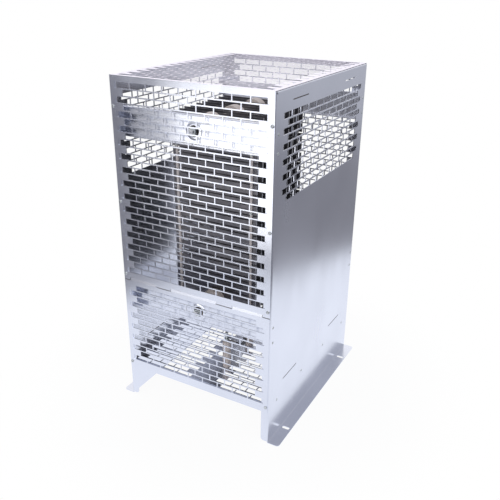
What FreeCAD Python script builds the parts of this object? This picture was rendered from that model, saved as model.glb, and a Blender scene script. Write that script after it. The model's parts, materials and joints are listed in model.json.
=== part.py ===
"""Free-standing braking resistor: a perforated sheet-metal cage round a bank of punched steel grids.

The cage is two folded side walls with feet, closed by perforated panels in front, behind, above
and below. Inside, ten meander grids hang on two insulated rods between four cross rails, and
the lower compartment holds two ceramic terminal posts behind a hooked, screwed cover.

Frame: millimetres, X to the right seen from the front, the front towards -Y, Z up. The origin
is the middle of the footprint, on the floor. Every size is a named value of the sheet "Sizes".
"""
import FreeCAD, Part
import math
import os
import re
import Sketcher

SIZES = {
    # casing
    "casing_width": 424.0,
    "casing_depth": 530.0,
    "casing_height": 866.0,
    "wall_sheet": 2.0,
    "panel_sheet": 1.5,
    "return_width": 20.0,
    "bend_radius": 3.0,
    "panel_inset": 2.5,
    "relief_radius": 2.5,
    # feet
    "foot_width": 30.0,
    "foot_corner": 8.0,
    "leg_clearance": 4.0,
    "foot_slot_width": 9.0,
    "foot_slot_length": 20.0,
    "foot_slot_reach": 15.0,
    "foot_slot_spacing": 380.0,
    # brick perforation
    "brick_length": 41.5,
    "brick_height": 13.6,
    "brick_web": 2.5,
    "row_pitch": 16.4,
    "front_row_top": 845.0,
    "front_row_bottom": 386.0,
    "cover_row_top": 336.6,
    "cover_row_bottom": 123.4,
    "front_side_margin": 12.5,
    "window_row_top": 811.0,
    "window_row_bottom": 630.0,
    "window_margin": 35.0,
    "window_brick": 39.2,
    "lid_margin": 20.0,
    "lid_lip": 12.0,
    # seam between the front grille and the terminal cover
    "seam_edge": 363.0,
    "tongue_drop": 6.0,
    "tongue_place": 88.0,
    "tongue_width": 43.0,
    "corner_tab_width": 18.0,
    "seam_gap": 2.0,
    "cover_bottom": 93.0,
    "hook_height": 14.0,
    "hook_clearance": 0.3,
    "hook_end_gap": 3.0,
    # cross rails
    "rail_setback": 24.0,
    "rail_height": 70.0,
    "rail_sheet": 2.0,
    "rail_lip": 12.0,
    "rail_flange": 19.0,
    "upper_rail_level": 758.0,
    "lower_rail_level": 306.0,
    "rail_hole_radius": 19.0,
    # grid bank
    "grid_width": 232.0,
    "grid_bottom": 290.0,
    "grid_top": 780.0,
    "grid_sheet": 1.0,
    "grid_first": -162.0,
    "grid_pitch": 26.5,
    "grid_slit_pitch": 25.4,
    "grid_slit_height": 4.0,
    "grid_bridge": 14.0,
    "grid_end_land": 46.0,
    "grid_count": 10,
    "disc_every": 4,
    # rods and insulators
    "rod_radius": 5.0,
    "rod_clearance": 0.3,
    "rod_end": 254.0,
    "nut_width": 17.0,
    "nut_height": 8.0,
    "washer_radius": 10.0,
    "washer_sheet": 2.0,
    "bush_flange_radius": 26.0,
    "bush_flange_height": 8.0,
    "bush_clearance": 0.3,
    "bead_radius": 17.0,
    "disc_radius": 30.0,
    "tube_radius": 10.0,
    # edge bars
    "edge_bar_place": 103.0,
    "edge_bar_width": 6.0,
    "edge_bar_depth": 3.0,
    "edge_bar_end_gap": 20.0,
    # floor plate
    "floor_level": 112.0,
    "floor_lip": 17.0,
    "floor_end_gap": 6.5,
    "floor_margin": 9.0,
    "floor_strip_left": -23.25,
    "floor_strip_right": 45.25,
    "cable_hole_radius": 11.25,
    "cable_hole_x": -8.0,
    "cable_hole_y": -119.0,
    # terminals
    "post_radius": 11.0,
    "post_height": 78.0,
    "post_place_x": 34.0,
    "post_screw_radius": 3.0,
    "post_hole_depth": 14.0,
    "post_screw_width": 10.0,
    "post_screw_head": 4.0,
    "blind_gap": 1.0,
    "rear_post_place": -40.0,
    "stud_radius": 4.0,
    "stud_height": 26.0,
    "stud_head_height": 5.3,
    "stud_nut_width": 13.0,
    "stud_nut_height": 6.5,
    "lug_sheet": 2.0,
    "lug_width": 16.0,
    "lug_length": 30.0,
    "lead_radius": 4.5,
    "tab_width": 20.0,
    "tab_sheet": 2.0,
    "tab_top": 325.0,
    "tab_bottom": 250.0,
    "tab_place": 88.0,
    "barrel_radius": 5.5,
    "barrel_length": 16.0,
    "lead_bend": 18.0,
    "jumper_width": 18.0,
    "jumper_sheet": 1.5,
    "jumper_height": 16.0,
    "jumper_place": 60.0,
    "jumper_inset": 4.0,
    "earth_stud_place": 60.0,
    # wall slots
    "wall_slot_length": 78.0,
    "wall_slot_height": 2.5,
    "wall_slot_place": 148.0,
    "upper_slot_level": 839.0,
    "lower_slot_level": 148.0,
    # screws
    "screw_radius": 2.4,
    "screw_clearance": 0.1,
    "screw_reach": 9.0,
    "head_radius": 4.2,
    "head_height": 2.4,
    "screw_inset": 7.5,
    "screw_level_high": 796.0,
    "screw_level_mid": 566.0,
    "screw_level_low": 372.0,
    "screw_level_cover": 107.0,
    "cover_hole_clearance": 0.5,
    # how far a cut runs past the edge that it opens
    "cut_over": 1.0,
}

# Places worked out from the sizes, each a formula that may use the ones above it.
PLACES = {
    "wall_outside": "casing_width / 2",
    "wall_inside": "wall_outside - wall_sheet",
    "front_plane": "casing_depth / 2",
    "return_plane": "front_plane - panel_sheet",
    "lid_underside": "casing_height - panel_sheet",
    "return_edge": "wall_outside - return_width",
    "panel_half_width": "wall_outside - panel_inset",
    "brick_pitch": "brick_length + brick_web",
    "screw_place_x": "wall_outside - screw_inset",
    "tongue_end": "seam_edge - tongue_drop",
    "cover_top": "tongue_end - seam_gap",
    "rail_face": "front_plane - rail_setback",
    "rail_back": "rail_face - rail_sheet",
    "rail_end": "wall_inside",
    "bush_back": "rail_back - bush_flange_height",
    "floor_end": "return_plane - wall_sheet - floor_end_gap",
    "hook_half_width": "return_edge - hook_end_gap",
    "hook_front": "return_plane - hook_clearance",
    "hook_back": "hook_front - panel_sheet",
    "disc_length": "grid_pitch - grid_sheet",
    "grid_last": "grid_first + (grid_count - 1) * grid_pitch",
    "grid_end": "grid_last + grid_sheet",
    "grid_middle": "(grid_bottom + grid_top) / 2",
    "front_post_place": "grid_first - tab_sheet / 2",
    "rear_tab_place": "grid_end + tab_sheet / 2",
    "post_top": "floor_level + post_height",
    "lead_level": "post_top + lug_sheet / 2",
}

ALIASES = set(SIZES)
SQUARE_AXES = {"X": FreeCAD.Vector(1, 0, 0), "Y": FreeCAD.Vector(0, 1, 0), "Z": FreeCAD.Vector(0, 0, 1)}

doc = FreeCAD.newDocument("braking_resistor")
sheet = doc.addObject("Spreadsheet::Sheet", "Sizes")
for line, (alias, size) in enumerate(SIZES.items(), start=1):
    sheet.set("A%d" % line, str(size))
    sheet.setAlias("A%d" % line, alias)
doc.recompute()

nodes = []


def sized(formula):
    """Write a formula in size and place names as one that reads the sheet."""

    def lookup(match):
        word = match.group(0)
        if word in ALIASES:
            return "Sizes." + word
        return "(" + sized(PLACES[word]) + ")"

    return re.sub(r"[a-z]+(?:_[a-z]+)+", lookup, str(formula))


def number(formula):
    """Work a formula out to a plain number, for counts and for shapes made point by point."""
    return float(sheet.evalExpression(sized(formula)))


def drive(thing, **formulas):
    """Bind properties of an object to formulas; a name such as Placement_Base_x is a path."""
    for name, formula in formulas.items():
        thing.setExpression(name.replace("_", "."), sized(formula))
    return thing


def put(thing, x="0", y="0", z="0"):
    """Bind the place of an object."""
    return drive(thing, Placement_Base_x=x, Placement_Base_y=y, Placement_Base_z=z)


def block(name, x, y, z, length, width, height):
    """A box from its lowest corner and its three sides."""
    box = doc.addObject("Part::Box", name)
    drive(box, Length=length, Width=width, Height=height)
    return put(box, x, y, z)


def round_bar(name, along, x, y, z, radius, length):
    """A cylinder from the centre of its first end, pointing along an axis."""
    bar = doc.addObject("Part::Cylinder", name)
    bar.Placement.Rotation = FreeCAD.Rotation(SQUARE_AXES["Z"], SQUARE_AXES[along])
    drive(bar, Radius=radius, Height=length)
    return put(bar, x, y, z)


def hex_bar(name, along, x, y, z, across, length):
    """A hexagonal bar from the centre of its first end; its size is across the flats."""
    bar = doc.addObject("Part::Prism", name)
    bar.Polygon = 6
    bar.Placement.Rotation = FreeCAD.Rotation(SQUARE_AXES["Z"], SQUARE_AXES[along])
    drive(bar, Circumradius="(%s) / 1.7320508" % across, Height=length)
    return put(bar, x, y, z)


def cut(name, base, *tools):
    """Take tools away from a base, all at once."""
    tool = tools[0] if len(tools) == 1 else fuse(name + "_tools", *tools)
    cutter = doc.addObject("Part::Cut", name)
    cutter.Base = base
    cutter.Tool = tool
    return cutter


def fuse(name, *shapes):
    """Join shapes into one."""
    joined = doc.addObject("Part::MultiFuse", name)
    joined.Shapes = list(shapes)
    joined.Refine = True
    return joined


def group(name, *shapes):
    """Keep identical pieces together as separate solids of one sub-part."""
    compound = doc.addObject("Part::Compound", name)
    compound.Links = list(shapes)
    return keep(name, compound)


def keep(name, thing):
    """Give a finished sub-part its label, and put it on the list to write out."""
    thing.Label = name
    nodes.append(thing)
    return thing


def datum_plane(body, role):
    """Find one of a body's own origin planes or axes."""
    return next(part for part in body.Origin.OriginFeatures if part.Role == role)


def polygon(body, name, role, corners, offset=None):
    """A closed sketch on an origin plane, with every corner bound to its two formulas."""
    sketch = body.newObject("Sketcher::SketchObject", name)
    sketch.AttachmentSupport = [(datum_plane(body, role), "")]
    sketch.MapMode = "FlatFace"
    points = [FreeCAD.Vector(number(across), number(up), 0) for across, up in corners]
    count = len(points)
    for index in range(count):
        sketch.addGeometry(Part.LineSegment(points[index], points[(index + 1) % count]))
    for index in range(count):
        sketch.addConstraint(Sketcher.Constraint("Coincident", index, 2, (index + 1) % count, 1))
    for index, (across, up) in enumerate(corners):
        for kind, formula, value in (
            ("DistanceX", across, points[index].x),
            ("DistanceY", up, points[index].y),
        ):
            place = sketch.addConstraint(Sketcher.Constraint(kind, -1, 1, index, 1, value))
            sketch.setExpression("Constraints[%d]" % place, sized(formula))
    if offset is not None:
        sketch.setExpression("AttachmentOffset.Base.z", sized(offset))
    return sketch


def oblong(left, low, right, high):
    """The four corners of a rectangle."""
    return [(left, low), (right, low), (right, high), (left, high)]


def pad(body, name, sketch, length, backwards=False):
    """Thicken a sketch into a solid."""
    solid = body.newObject("PartDesign::Pad", name)
    solid.Profile = sketch
    solid.Reversed = backwards
    drive(solid, Length=length)
    doc.recompute()
    return solid


def pocket(body, name, sketch, length=None, backwards=False):
    """Cut a sketch away, right through where no length is given."""
    before = body.Tip.Shape.Volume
    hollow = body.newObject("PartDesign::Pocket", name)
    hollow.Profile = sketch
    hollow.Reversed = backwards
    if length is None:
        hollow.Type = "ThroughAll"
        hollow.Midplane = True
    else:
        drive(hollow, Length=length)
    doc.recompute()
    if not hollow.Shape.Volume < before - 1e-6:
        raise RuntimeError(name + " cuts nothing")
    return hollow


def spread(body, name, original, across, times, step="2 * row_pitch"):
    """Repeat a cut along its row, across being (axis, step, count), and down the rows."""
    grid = body.newObject("PartDesign::MultiTransform", name)
    grid.Originals = [original]
    steps = []
    for label, (axis, gap, count) in (("_across", across), ("_down", ("V_Axis", step, times))):
        if count > 1:
            line = body.newObject("PartDesign::LinearPattern", name + label)
            line.Direction = (original.Profile[0], [axis])
            line.Reversed = label == "_down"
            line.Occurrences = count
            drive(line, Length="(%s) * %d" % (gap, count - 1))
            steps.append(line)
    grid.Transformations = steps
    body.Tip = grid
    doc.recompute()
    return grid


def fillet(body, name, radius, wanted):
    """Round the edges of the last feature whose middle point passes a test."""
    base = body.Tip
    names = [
        "Edge%d" % (place + 1)
        for place, edge in enumerate(base.Shape.Edges)
        if wanted(edge, edge.valueAt((edge.FirstParameter + edge.LastParameter) / 2))
    ]
    rounding = body.newObject("PartDesign::Fillet", name)
    rounding.Base = (base, names)
    drive(rounding, Radius=radius)
    doc.recompute()
    return rounding


def near(value, formula):
    """Whether a coordinate lies at a formula's value."""
    return abs(value - number(formula)) < 0.01


def straight(edge, axis):
    """Whether an edge is a straight line along an axis."""
    if not isinstance(edge.Curve, Part.Line):
        return False
    return abs(abs(edge.Curve.Direction.dot(SQUARE_AXES[axis])) - 1) < 1e-6


def bricks_across(width, margin, brick="brick_length"):
    """How many bricks of one length fit side by side between two margins."""
    room = "(%s) - 2 * (%s) + brick_web" % (width, margin)
    return int(number("(%s) / (%s + brick_web)" % (room, brick)) + 1e-6)


def rows_between(high, low):
    """How many rows lie between two levels, both counted."""
    return int(round(number("((%s) - (%s)) / row_pitch" % (high, low)))) + 1


def brick_rows(body, name, role, first, rows, wide, starts_wide=True, joined=False,
               brick="brick_length"):
    """Punch a field of brick holes, rows in turn wide and one brick narrower.

    first is the formula of the first row's middle line, measured along the sketch's second axis,
    and rows step down from there. With joined, each row is one slot as long as its bricks.
    """
    pitch = "(%s + brick_web)" % brick
    for turn in (0, 1):
        count = wide if (turn == 0) == starts_wide else wide - 1
        times = (rows + 1 - turn) // 2
        if not times:
            continue
        half_row = "(%d * %s - brick_web) / 2" % (count, pitch)
        middle = "(%s) - row_pitch * %d" % (first, turn)
        length = "2 * (%s)" % half_row if joined else brick
        corners = oblong(
            "-(%s)" % half_row,
            "%s - brick_height / 2" % middle,
            "-(%s) + %s" % (half_row, length),
            "%s + brick_height / 2" % middle,
        )
        label = "%s_%s" % (name, "odd" if turn == 0 else "even")
        hole = pocket(body, label, polygon(body, label + "_hole", role, corners))
        across = 1 if joined else count
        spread(body, label + "_field", hole, ("H_Axis", pitch, across), times)


def holes(body, name, role, spots, radius):
    """Drill round holes right through a body, all of one radius, at pairs of formulas."""
    sketch = body.newObject("Sketcher::SketchObject", name + "_rings")
    sketch.AttachmentSupport = [(datum_plane(body, role), "")]
    sketch.MapMode = "FlatFace"
    size = number(radius)
    for index, (across, up) in enumerate(spots):
        centre = FreeCAD.Vector(number(across), number(up), 0)
        sketch.addGeometry(Part.Circle(centre, SQUARE_AXES["Z"], size))
        for rule, formula in (
            (("Radius", index, size), radius),
            (("DistanceX", -1, 1, index, 3, centre.x), across),
            (("DistanceY", -1, 1, index, 3, centre.y), up),
        ):
            place = sketch.addConstraint(Sketcher.Constraint(*rule))
            sketch.setExpression("Constraints[%d]" % place, sized(formula))
    return pocket(body, name, sketch)


def both_sides(formula):
    """A formula and its mirror image."""
    return ["-(%s)" % formula, "(%s)" % formula]


def mirrored(name, source, axis):
    """The mirror image of a sub-part across the middle plane that an axis crosses."""
    image = doc.addObject("Part::Mirroring", name)
    image.Source = source
    image.Normal = SQUARE_AXES[axis]
    return keep(name, image)


def new_body(name):
    """A PartDesign body that will become one sub-part."""
    return keep(name, doc.addObject("PartDesign::Body", name))


PANEL_SCREW_LEVELS = ["screw_level_high", "screw_level_mid", "screw_level_low"]
RAIL_LEVELS = {"upper": "upper_rail_level", "lower": "lower_rail_level"}


def make_side_walls():
    """Two folded walls, each with front, rear and top returns and a foot flange."""
    wall = new_body("side_wall_right")
    outline = oblong("-return_plane", "0", "return_plane", "lid_underside")
    pad(wall, "wall_blank", polygon(wall, "wall_outline", "YZ_Plane", outline, "return_edge"),
        "return_width")
    fillet(wall, "outer_bends", "bend_radius", lambda edge, at: near(at.x, "wall_outside") and (
        (straight(edge, "Z") and near(abs(at.y), "return_plane"))
        or (straight(edge, "Y") and near(at.z, "lid_underside"))))
    hollow = oblong("-(return_plane - wall_sheet)", "-cut_over", "return_plane - wall_sheet",
                    "lid_underside - wall_sheet")
    pocket(wall, "wall_hollow", polygon(wall, "wall_inner", "YZ_Plane", hollow, "return_edge"),
           "return_width - wall_sheet", backwards=True)
    fillet(wall, "inner_bends", "bend_radius - wall_sheet",
           lambda edge, at: near(at.x, "wall_inside") and (
               (straight(edge, "Z") and near(abs(at.y), "return_plane - wall_sheet"))
               or (straight(edge, "Y") and near(at.z, "lid_underside - wall_sheet"))))
    under = oblong("return_edge - cut_over", "-return_plane - cut_over", "wall_inside",
                   "return_plane + cut_over")
    pocket(wall, "leg_cut", polygon(wall, "leg_end", "XY_Plane", under), "leg_clearance",
           backwards=True)
    flange = oblong("wall_inside", "-return_plane", "wall_outside + foot_width", "return_plane")
    pad(wall, "foot", polygon(wall, "foot_outline", "XY_Plane", flange), "wall_sheet")
    fillet(wall, "foot_corners", "foot_corner", lambda edge, at: (
        straight(edge, "Z") and near(at.x, "wall_outside + foot_width")))
    fillet(wall, "leg_corners", "foot_corner", lambda edge, at: (
        straight(edge, "Y") and near(at.x, "return_edge") and near(at.z, "leg_clearance")))
    fillet(wall, "foot_bend_top", "bend_radius - wall_sheet", lambda edge, at: (
        straight(edge, "Y") and near(at.x, "wall_outside") and near(at.z, "wall_sheet")))
    slot_x = "wall_outside + foot_slot_reach"
    half_run = "(foot_slot_length - foot_slot_width) / 2"
    for label, slot_y in zip(("front", "rear"), both_sides("foot_slot_spacing / 2")):
        corners = oblong("%s - %s" % (slot_x, half_run), "%s - foot_slot_width / 2" % slot_y,
                         "%s + %s" % (slot_x, half_run), "%s + foot_slot_width / 2" % slot_y)
        pocket(wall, label + "_slot", polygon(wall, label + "_slot_run", "XY_Plane", corners))
        ends = [("%s %s %s" % (slot_x, sign, half_run), slot_y) for sign in "-+"]
        holes(wall, label + "_slot_ends", "XY_Plane", ends, "foot_slot_width / 2")
    corner = "return_plane - bend_radius"
    holes(wall, "corner_relief", "YZ_Plane",
          [(side, "lid_underside - bend_radius") for side in both_sides(corner)], "relief_radius")
    for label, level in (("upper", "upper_slot_level"), ("lower", "lower_slot_level")):
        corners = oblong("-wall_slot_place - wall_slot_length / 2", "%s - wall_slot_height / 2" % level,
                         "-wall_slot_place + wall_slot_length / 2", "%s + wall_slot_height / 2" % level)
        cutout = pocket(wall, label + "_slots", polygon(wall, label + "_slot", "YZ_Plane", corners))
        spread(wall, label + "_slot_pair", cutout, ("H_Axis", "2 * wall_slot_place", 2), 1)
    holes(wall, "panel_holes", "XZ_Plane",
          [("screw_place_x", level) for level in PANEL_SCREW_LEVELS], "screw_radius + screw_clearance")
    holes(wall, "cover_holes", "XZ_Plane", [("screw_place_x", "screw_level_cover")],
          "screw_radius + cover_hole_clearance")
    brick_rows(wall, "window", "YZ_Plane", "window_row_top",
               rows_between("window_row_top", "window_row_bottom"),
               bricks_across("2 * return_plane", "window_margin", "window_brick"),
               brick="window_brick")
    mirrored("side_wall_left", wall, "X")


def make_lid():
    """The perforated lid, dropped between the front and rear panels on the walls' top returns."""
    lid = new_body("top_grille")
    outline = oblong("-panel_half_width", "-return_plane", "panel_half_width", "return_plane")
    pad(lid, "lid_sheet", polygon(lid, "lid_outline", "XY_Plane", outline, "lid_underside"),
        "panel_sheet")
    for label, near_edge, far_edge in (
        ("front", "-return_plane", "-return_plane + panel_sheet"),
        ("rear", "return_plane - panel_sheet", "return_plane"),
    ):
        lip = oblong("-hook_half_width", near_edge, "hook_half_width", far_edge)
        pad(lid, label + "_lip",
            polygon(lid, label + "_lip_edge", "XY_Plane", lip, "lid_underside - lid_lip"), "lid_lip")
    rows = rows_between("return_plane - lid_margin", "-(return_plane - lid_margin)")
    brick_rows(lid, "lid_field", "XY_Plane", "row_pitch * %.1f" % ((rows - 1) / 2), rows,
               bricks_across("2 * panel_half_width", "front_side_margin"), joined=True)


def make_front_panels():
    """The front grille, and below it the terminal cover that hooks behind its tongues."""
    grille = new_body("front_grille")
    edge = []
    for side in both_sides("tongue_place"):
        left, right = side + " - tongue_width / 2", side + " + tongue_width / 2"
        edge += [(left, "seam_edge"), (left, "tongue_end"), (right, "tongue_end"), (right, "seam_edge")]
    tab = "panel_half_width - corner_tab_width"
    outline = (
        [("-panel_half_width", "tongue_end"), ("-(%s)" % tab, "tongue_end"), ("-(%s)" % tab, "seam_edge")]
        + edge
        + [(tab, "seam_edge"), (tab, "tongue_end"), ("panel_half_width", "tongue_end")]
        + [("panel_half_width", "casing_height"), ("-panel_half_width", "casing_height")]
    )
    pad(grille, "grille_sheet", polygon(grille, "grille_outline", "XZ_Plane", outline, "return_plane"),
        "panel_sheet")
    holes(grille, "grille_screw_holes", "XZ_Plane",
          [(side, level) for side in both_sides("screw_place_x") for level in PANEL_SCREW_LEVELS],
          "screw_radius + screw_clearance")
    wide = bricks_across("2 * panel_half_width", "front_side_margin")
    brick_rows(grille, "bricks", "XZ_Plane", "front_row_top",
               rows_between("front_row_top", "front_row_bottom"), wide)

    cover = new_body("terminal_cover")
    outline = oblong("-panel_half_width", "cover_bottom", "panel_half_width", "cover_top")
    pad(cover, "cover_sheet", polygon(cover, "cover_outline", "XZ_Plane", outline, "return_plane"),
        "panel_sheet")
    hook = [
        ("-return_plane", "cover_top - panel_sheet"),
        ("-hook_back", "cover_top - panel_sheet"),
        ("-hook_back", "cover_top + hook_height"),
        ("-hook_front", "cover_top + hook_height"),
        ("-hook_front", "cover_top"),
        ("-return_plane", "cover_top"),
    ]
    pad(cover, "hook", polygon(cover, "hook_profile", "YZ_Plane", hook, "-hook_half_width"),
        "2 * hook_half_width")
    holes(cover, "cover_screw_holes", "XZ_Plane",
          [(side, "screw_level_cover") for side in both_sides("screw_place_x")],
          "screw_radius + screw_clearance")
    brick_rows(cover, "cover_bricks", "XZ_Plane", "cover_row_top",
               rows_between("cover_row_top", "cover_row_bottom"), wide, starts_wide=False)


def make_rear_panel():
    """One perforated sheet over the whole back."""
    panel = new_body("rear_grille")
    outline = oblong("-panel_half_width", "cover_bottom", "panel_half_width", "casing_height")
    pad(panel, "rear_sheet", polygon(panel, "rear_outline", "XZ_Plane", outline, "-front_plane"),
        "panel_sheet")
    levels = PANEL_SCREW_LEVELS + ["screw_level_cover"]
    holes(panel, "rear_screw_holes", "XZ_Plane",
          [(side, level) for side in both_sides("screw_place_x") for level in levels],
          "screw_radius + screw_clearance")
    brick_rows(panel, "rear_field", "XZ_Plane", "front_row_top",
               rows_between("front_row_top", "cover_row_bottom"),
               bricks_across("2 * panel_half_width", "front_side_margin"), joined=True)


def make_floor():
    """The perforated floor tray, with a solid strip that carries the terminals."""
    floor = new_body("floor_grille")
    outline = oblong("-wall_inside", "-floor_end", "wall_inside", "floor_end")
    pad(floor, "floor_blank",
        polygon(floor, "floor_outline", "XY_Plane", outline, "floor_level - floor_lip"), "floor_lip")
    hollow = oblong("-(wall_inside - panel_sheet)", "-(floor_end - panel_sheet)",
                    "wall_inside - panel_sheet", "floor_end - panel_sheet")
    pocket(floor, "floor_hollow",
           polygon(floor, "floor_inner", "XY_Plane", hollow, "floor_level - floor_lip"),
           "floor_lip - panel_sheet", backwards=True)
    rows = rows_between("floor_end - floor_margin", "-(floor_end - floor_margin)")
    wide = bricks_across("2 * panel_half_width", "front_side_margin")
    first = "row_pitch * %.1f" % ((rows - 1) / 2)
    half_row = "(%d * brick_pitch - brick_web) / 2" % wide
    for turn, label in enumerate(("odd", "even")):
        shift = "%d * brick_pitch / 2" % turn
        middle = "%s - row_pitch * %d" % (first, turn)
        low, high = "%s - brick_height / 2" % middle, "%s + brick_height / 2" % middle
        for side, left, right in (
            ("left", "-(%s) + %s" % (half_row, shift), "floor_strip_left - %s" % shift),
            ("right", "floor_strip_right + (1 - %d) * brick_pitch / 2" % turn,
             "%s - %s" % (half_row, shift)),
        ):
            name = "floor_%s_%s" % (side, label)
            slot = pocket(floor, name, polygon(floor, name + "_slot", "XY_Plane",
                                               oblong(left, low, right, high)))
            spread(floor, name + "_field", slot, ("H_Axis", "brick_pitch", 1), (rows + 1 - turn) // 2)
    holes(floor, "cable_hole", "XY_Plane", [("cable_hole_x", "cable_hole_y")], "cable_hole_radius")
    holes(floor, "post_holes", "XY_Plane",
          [("post_place_x", "front_post_place"), ("post_place_x", "rear_post_place")],
          "post_screw_radius + screw_clearance")
    holes(floor, "earth_hole", "XY_Plane", [("0", "earth_stud_place")], "stud_radius + screw_clearance")


def make_rails():
    """Four lipped cross rails, riveted between the walls, with a round hole for the bush."""
    for label, level in RAIL_LEVELS.items():
        rail = new_body(label + "_rail_front")
        low, high = "%s - rail_height / 2" % level, "%s + rail_height / 2" % level
        lip = "-rail_face + rail_lip"
        profile = [
            ("-rail_face", low), (lip, low), (lip, low + " + rail_sheet"),
            ("-rail_back", low + " + rail_sheet"), ("-rail_back", high + " - rail_sheet"),
            (lip, high + " - rail_sheet"), (lip, high), ("-rail_face", high),
        ]
        pad(rail, "rail_channel", polygon(rail, "rail_profile", "YZ_Plane", profile, "-rail_end"),
            "2 * rail_end")
        flange = oblong("-rail_face - rail_flange", low, "-rail_face", high)
        for side, place in (("left", "-rail_end"), ("right", "rail_end - rail_sheet")):
            pad(rail, side + "_flange", polygon(rail, side + "_end", "YZ_Plane", flange, place),
                "rail_sheet")
        fillet(rail, "lip_bends", "rail_sheet", lambda edge, at: (
            straight(edge, "X") and near(at.y, "-rail_face")
            and (near(at.z, low) or near(at.z, high))))
        holes(rail, "bush_hole", "XZ_Plane", [("0", level)], "rail_hole_radius")
        mirrored(label + "_rail_rear", rail, "Y")


def ring(name, along, x, y, z, radius, bore, length):
    """A round bar with a bore right through it."""
    outer = round_bar(name + "_outer", along, x, y, z, radius, length)
    inner = round_bar(name + "_bore", along, x, y, z, bore, length)
    return cut(name, outer, inner)


def hex_ring(name, along, x, y, z, across, bore, length):
    """A hexagonal nut, its thread left plain."""
    outer = hex_bar(name + "_outer", along, x, y, z, across, length)
    inner = round_bar(name + "_bore", along, x, y, z, bore, length)
    return cut(name, outer, inner)


def make_rods():
    """Two insulated rods with their bushes, washers, nuts, tubes, beads and large discs."""
    bore = "rod_radius + rod_clearance"
    bushes, washers, nuts, tubes = [], [], [], []
    for label, level in RAIL_LEVELS.items():
        rod = round_bar(label + "_rod", "Y", "0", "-rod_end", level, "rod_radius", "2 * rod_end")
        keep(label + "_rod", rod)
        for end, spigot, flange, washer, nut in (
            ("front", "-rail_face", "-rail_back", "-rail_face - washer_sheet",
             "-rail_face - washer_sheet - nut_height"),
            ("rear", "rail_back", "bush_back", "rail_face", "rail_face + washer_sheet"),
        ):
            name = "%s_%s" % (label, end)
            bush = fuse(
                name + "_bush_body",
                round_bar(name + "_spigot", "Y", "0", spigot, level,
                          "rail_hole_radius - bush_clearance", "rail_sheet"),
                round_bar(name + "_flange", "Y", "0", flange, level, "bush_flange_radius",
                          "bush_flange_height"),
            )
            through = round_bar(name + "_bush_bore", "Y", "0", "-front_plane", level, bore,
                                "2 * front_plane")
            bushes.append(cut(name + "_bush", bush, through))
            washers.append(ring(name + "_washer", "Y", "0", washer, level, "washer_radius", bore,
                                "washer_sheet"))
            nuts.append(hex_ring(name + "_nut", "Y", "0", nut, level, "nut_width", bore, "nut_height"))
        tubes.append(ring(label + "_front_tube", "Y", "0", "-bush_back", level, "tube_radius", bore,
                          "bush_back + grid_first - disc_length"))
        tubes.append(ring(label + "_rear_tube", "Y", "0", "grid_end", level, "tube_radius", bore,
                          "bush_back - grid_end"))
        beads, discs = [], []
        discs.append(ring(label + "_disc_front", "Y", "0", "grid_first - disc_length", level,
                          "disc_radius", bore, "disc_length"))
        every = int(number("disc_every"))
        for gap in range(int(number("grid_count")) - 1):
            large = gap % every == every - 1
            name = "%s_%s_%d" % (label, "disc" if large else "bead", gap + 1)
            start = "grid_first + grid_pitch * %d + grid_sheet" % gap
            piece = ring(name, "Y", "0", start, level, "disc_radius" if large else "bead_radius",
                         bore, "disc_length")
            (discs if large else beads).append(piece)
        group(label + "_beads", *beads)
        group(label + "_discs", *discs)
    group("rod_bushes", *bushes)
    group("rod_washers", *washers)
    group("rod_nuts", *nuts)
    group("spacer_tubes", *tubes)


def slit_count():
    """How many slits fit between the end lands of a grid."""
    run = number("grid_top - grid_bottom - 2 * grid_end_land")
    return int(run / number("grid_slit_pitch")) + 1


def slit_level(index):
    """Formula for the height of a slit's middle line, counted from the top."""
    return "grid_middle + grid_slit_pitch * %.1f" % ((slit_count() - 1) / 2 - index)


def make_grids():
    """Meander grids: one pattern punched with slits from both edges in turn, then its copies."""
    pattern = doc.addObject("PartDesign::Body", "grid_pattern")
    half = "grid_width / 2"
    outline = oblong("-(%s)" % half, "grid_bottom", half, "grid_top")
    pad(pattern, "grid_sheet_blank", polygon(pattern, "grid_outline", "XZ_Plane", outline),
        "grid_sheet", backwards=True)
    holes(pattern, "rod_holes", "XZ_Plane", [("0", level) for level in RAIL_LEVELS.values()],
          "rod_radius + rod_clearance")
    for turn, label in enumerate(("right", "left")):
        middle = slit_level(turn)
        inner, outer = "%s - grid_bridge" % half, "%s + cut_over" % half
        left, right = ("-(%s)" % inner, outer) if turn == 0 else ("-(%s)" % outer, inner)
        corners = oblong(left, "%s - grid_slit_height / 2" % middle, right,
                         "%s + grid_slit_height / 2" % middle)
        slit = pocket(pattern, label + "_slit", polygon(pattern, label + "_cut", "XZ_Plane", corners))
        spread(pattern, label + "_slits", slit, ("H_Axis", "grid_width", 1),
               (slit_count() + 1 - turn) // 2, "2 * grid_slit_pitch")
    for index in range(int(number("grid_count"))):
        copy = doc.addObject("Part::Compound", "grid_%02d" % (index + 1))
        copy.Links = [pattern]
        put(copy, y="grid_first + grid_pitch * %d" % index)
        keep("grid_%02d" % (index + 1), copy)


def make_edge_bars():
    """Insulating bars that stiffen both edges of the first grid and of the last."""
    bars = []
    for label, place in zip(("left", "right"), both_sides("edge_bar_place")):
        for end, start in (("front", "grid_first - edge_bar_depth"), ("rear", "grid_end")):
            bars.append(block("%s_%s_bar" % (label, end), place + " - edge_bar_width / 2", start,
                              "grid_bottom + edge_bar_end_gap", "edge_bar_width", "edge_bar_depth",
                              "grid_top - grid_bottom - 2 * edge_bar_end_gap"))
    group("edge_bars", *bars)


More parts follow.
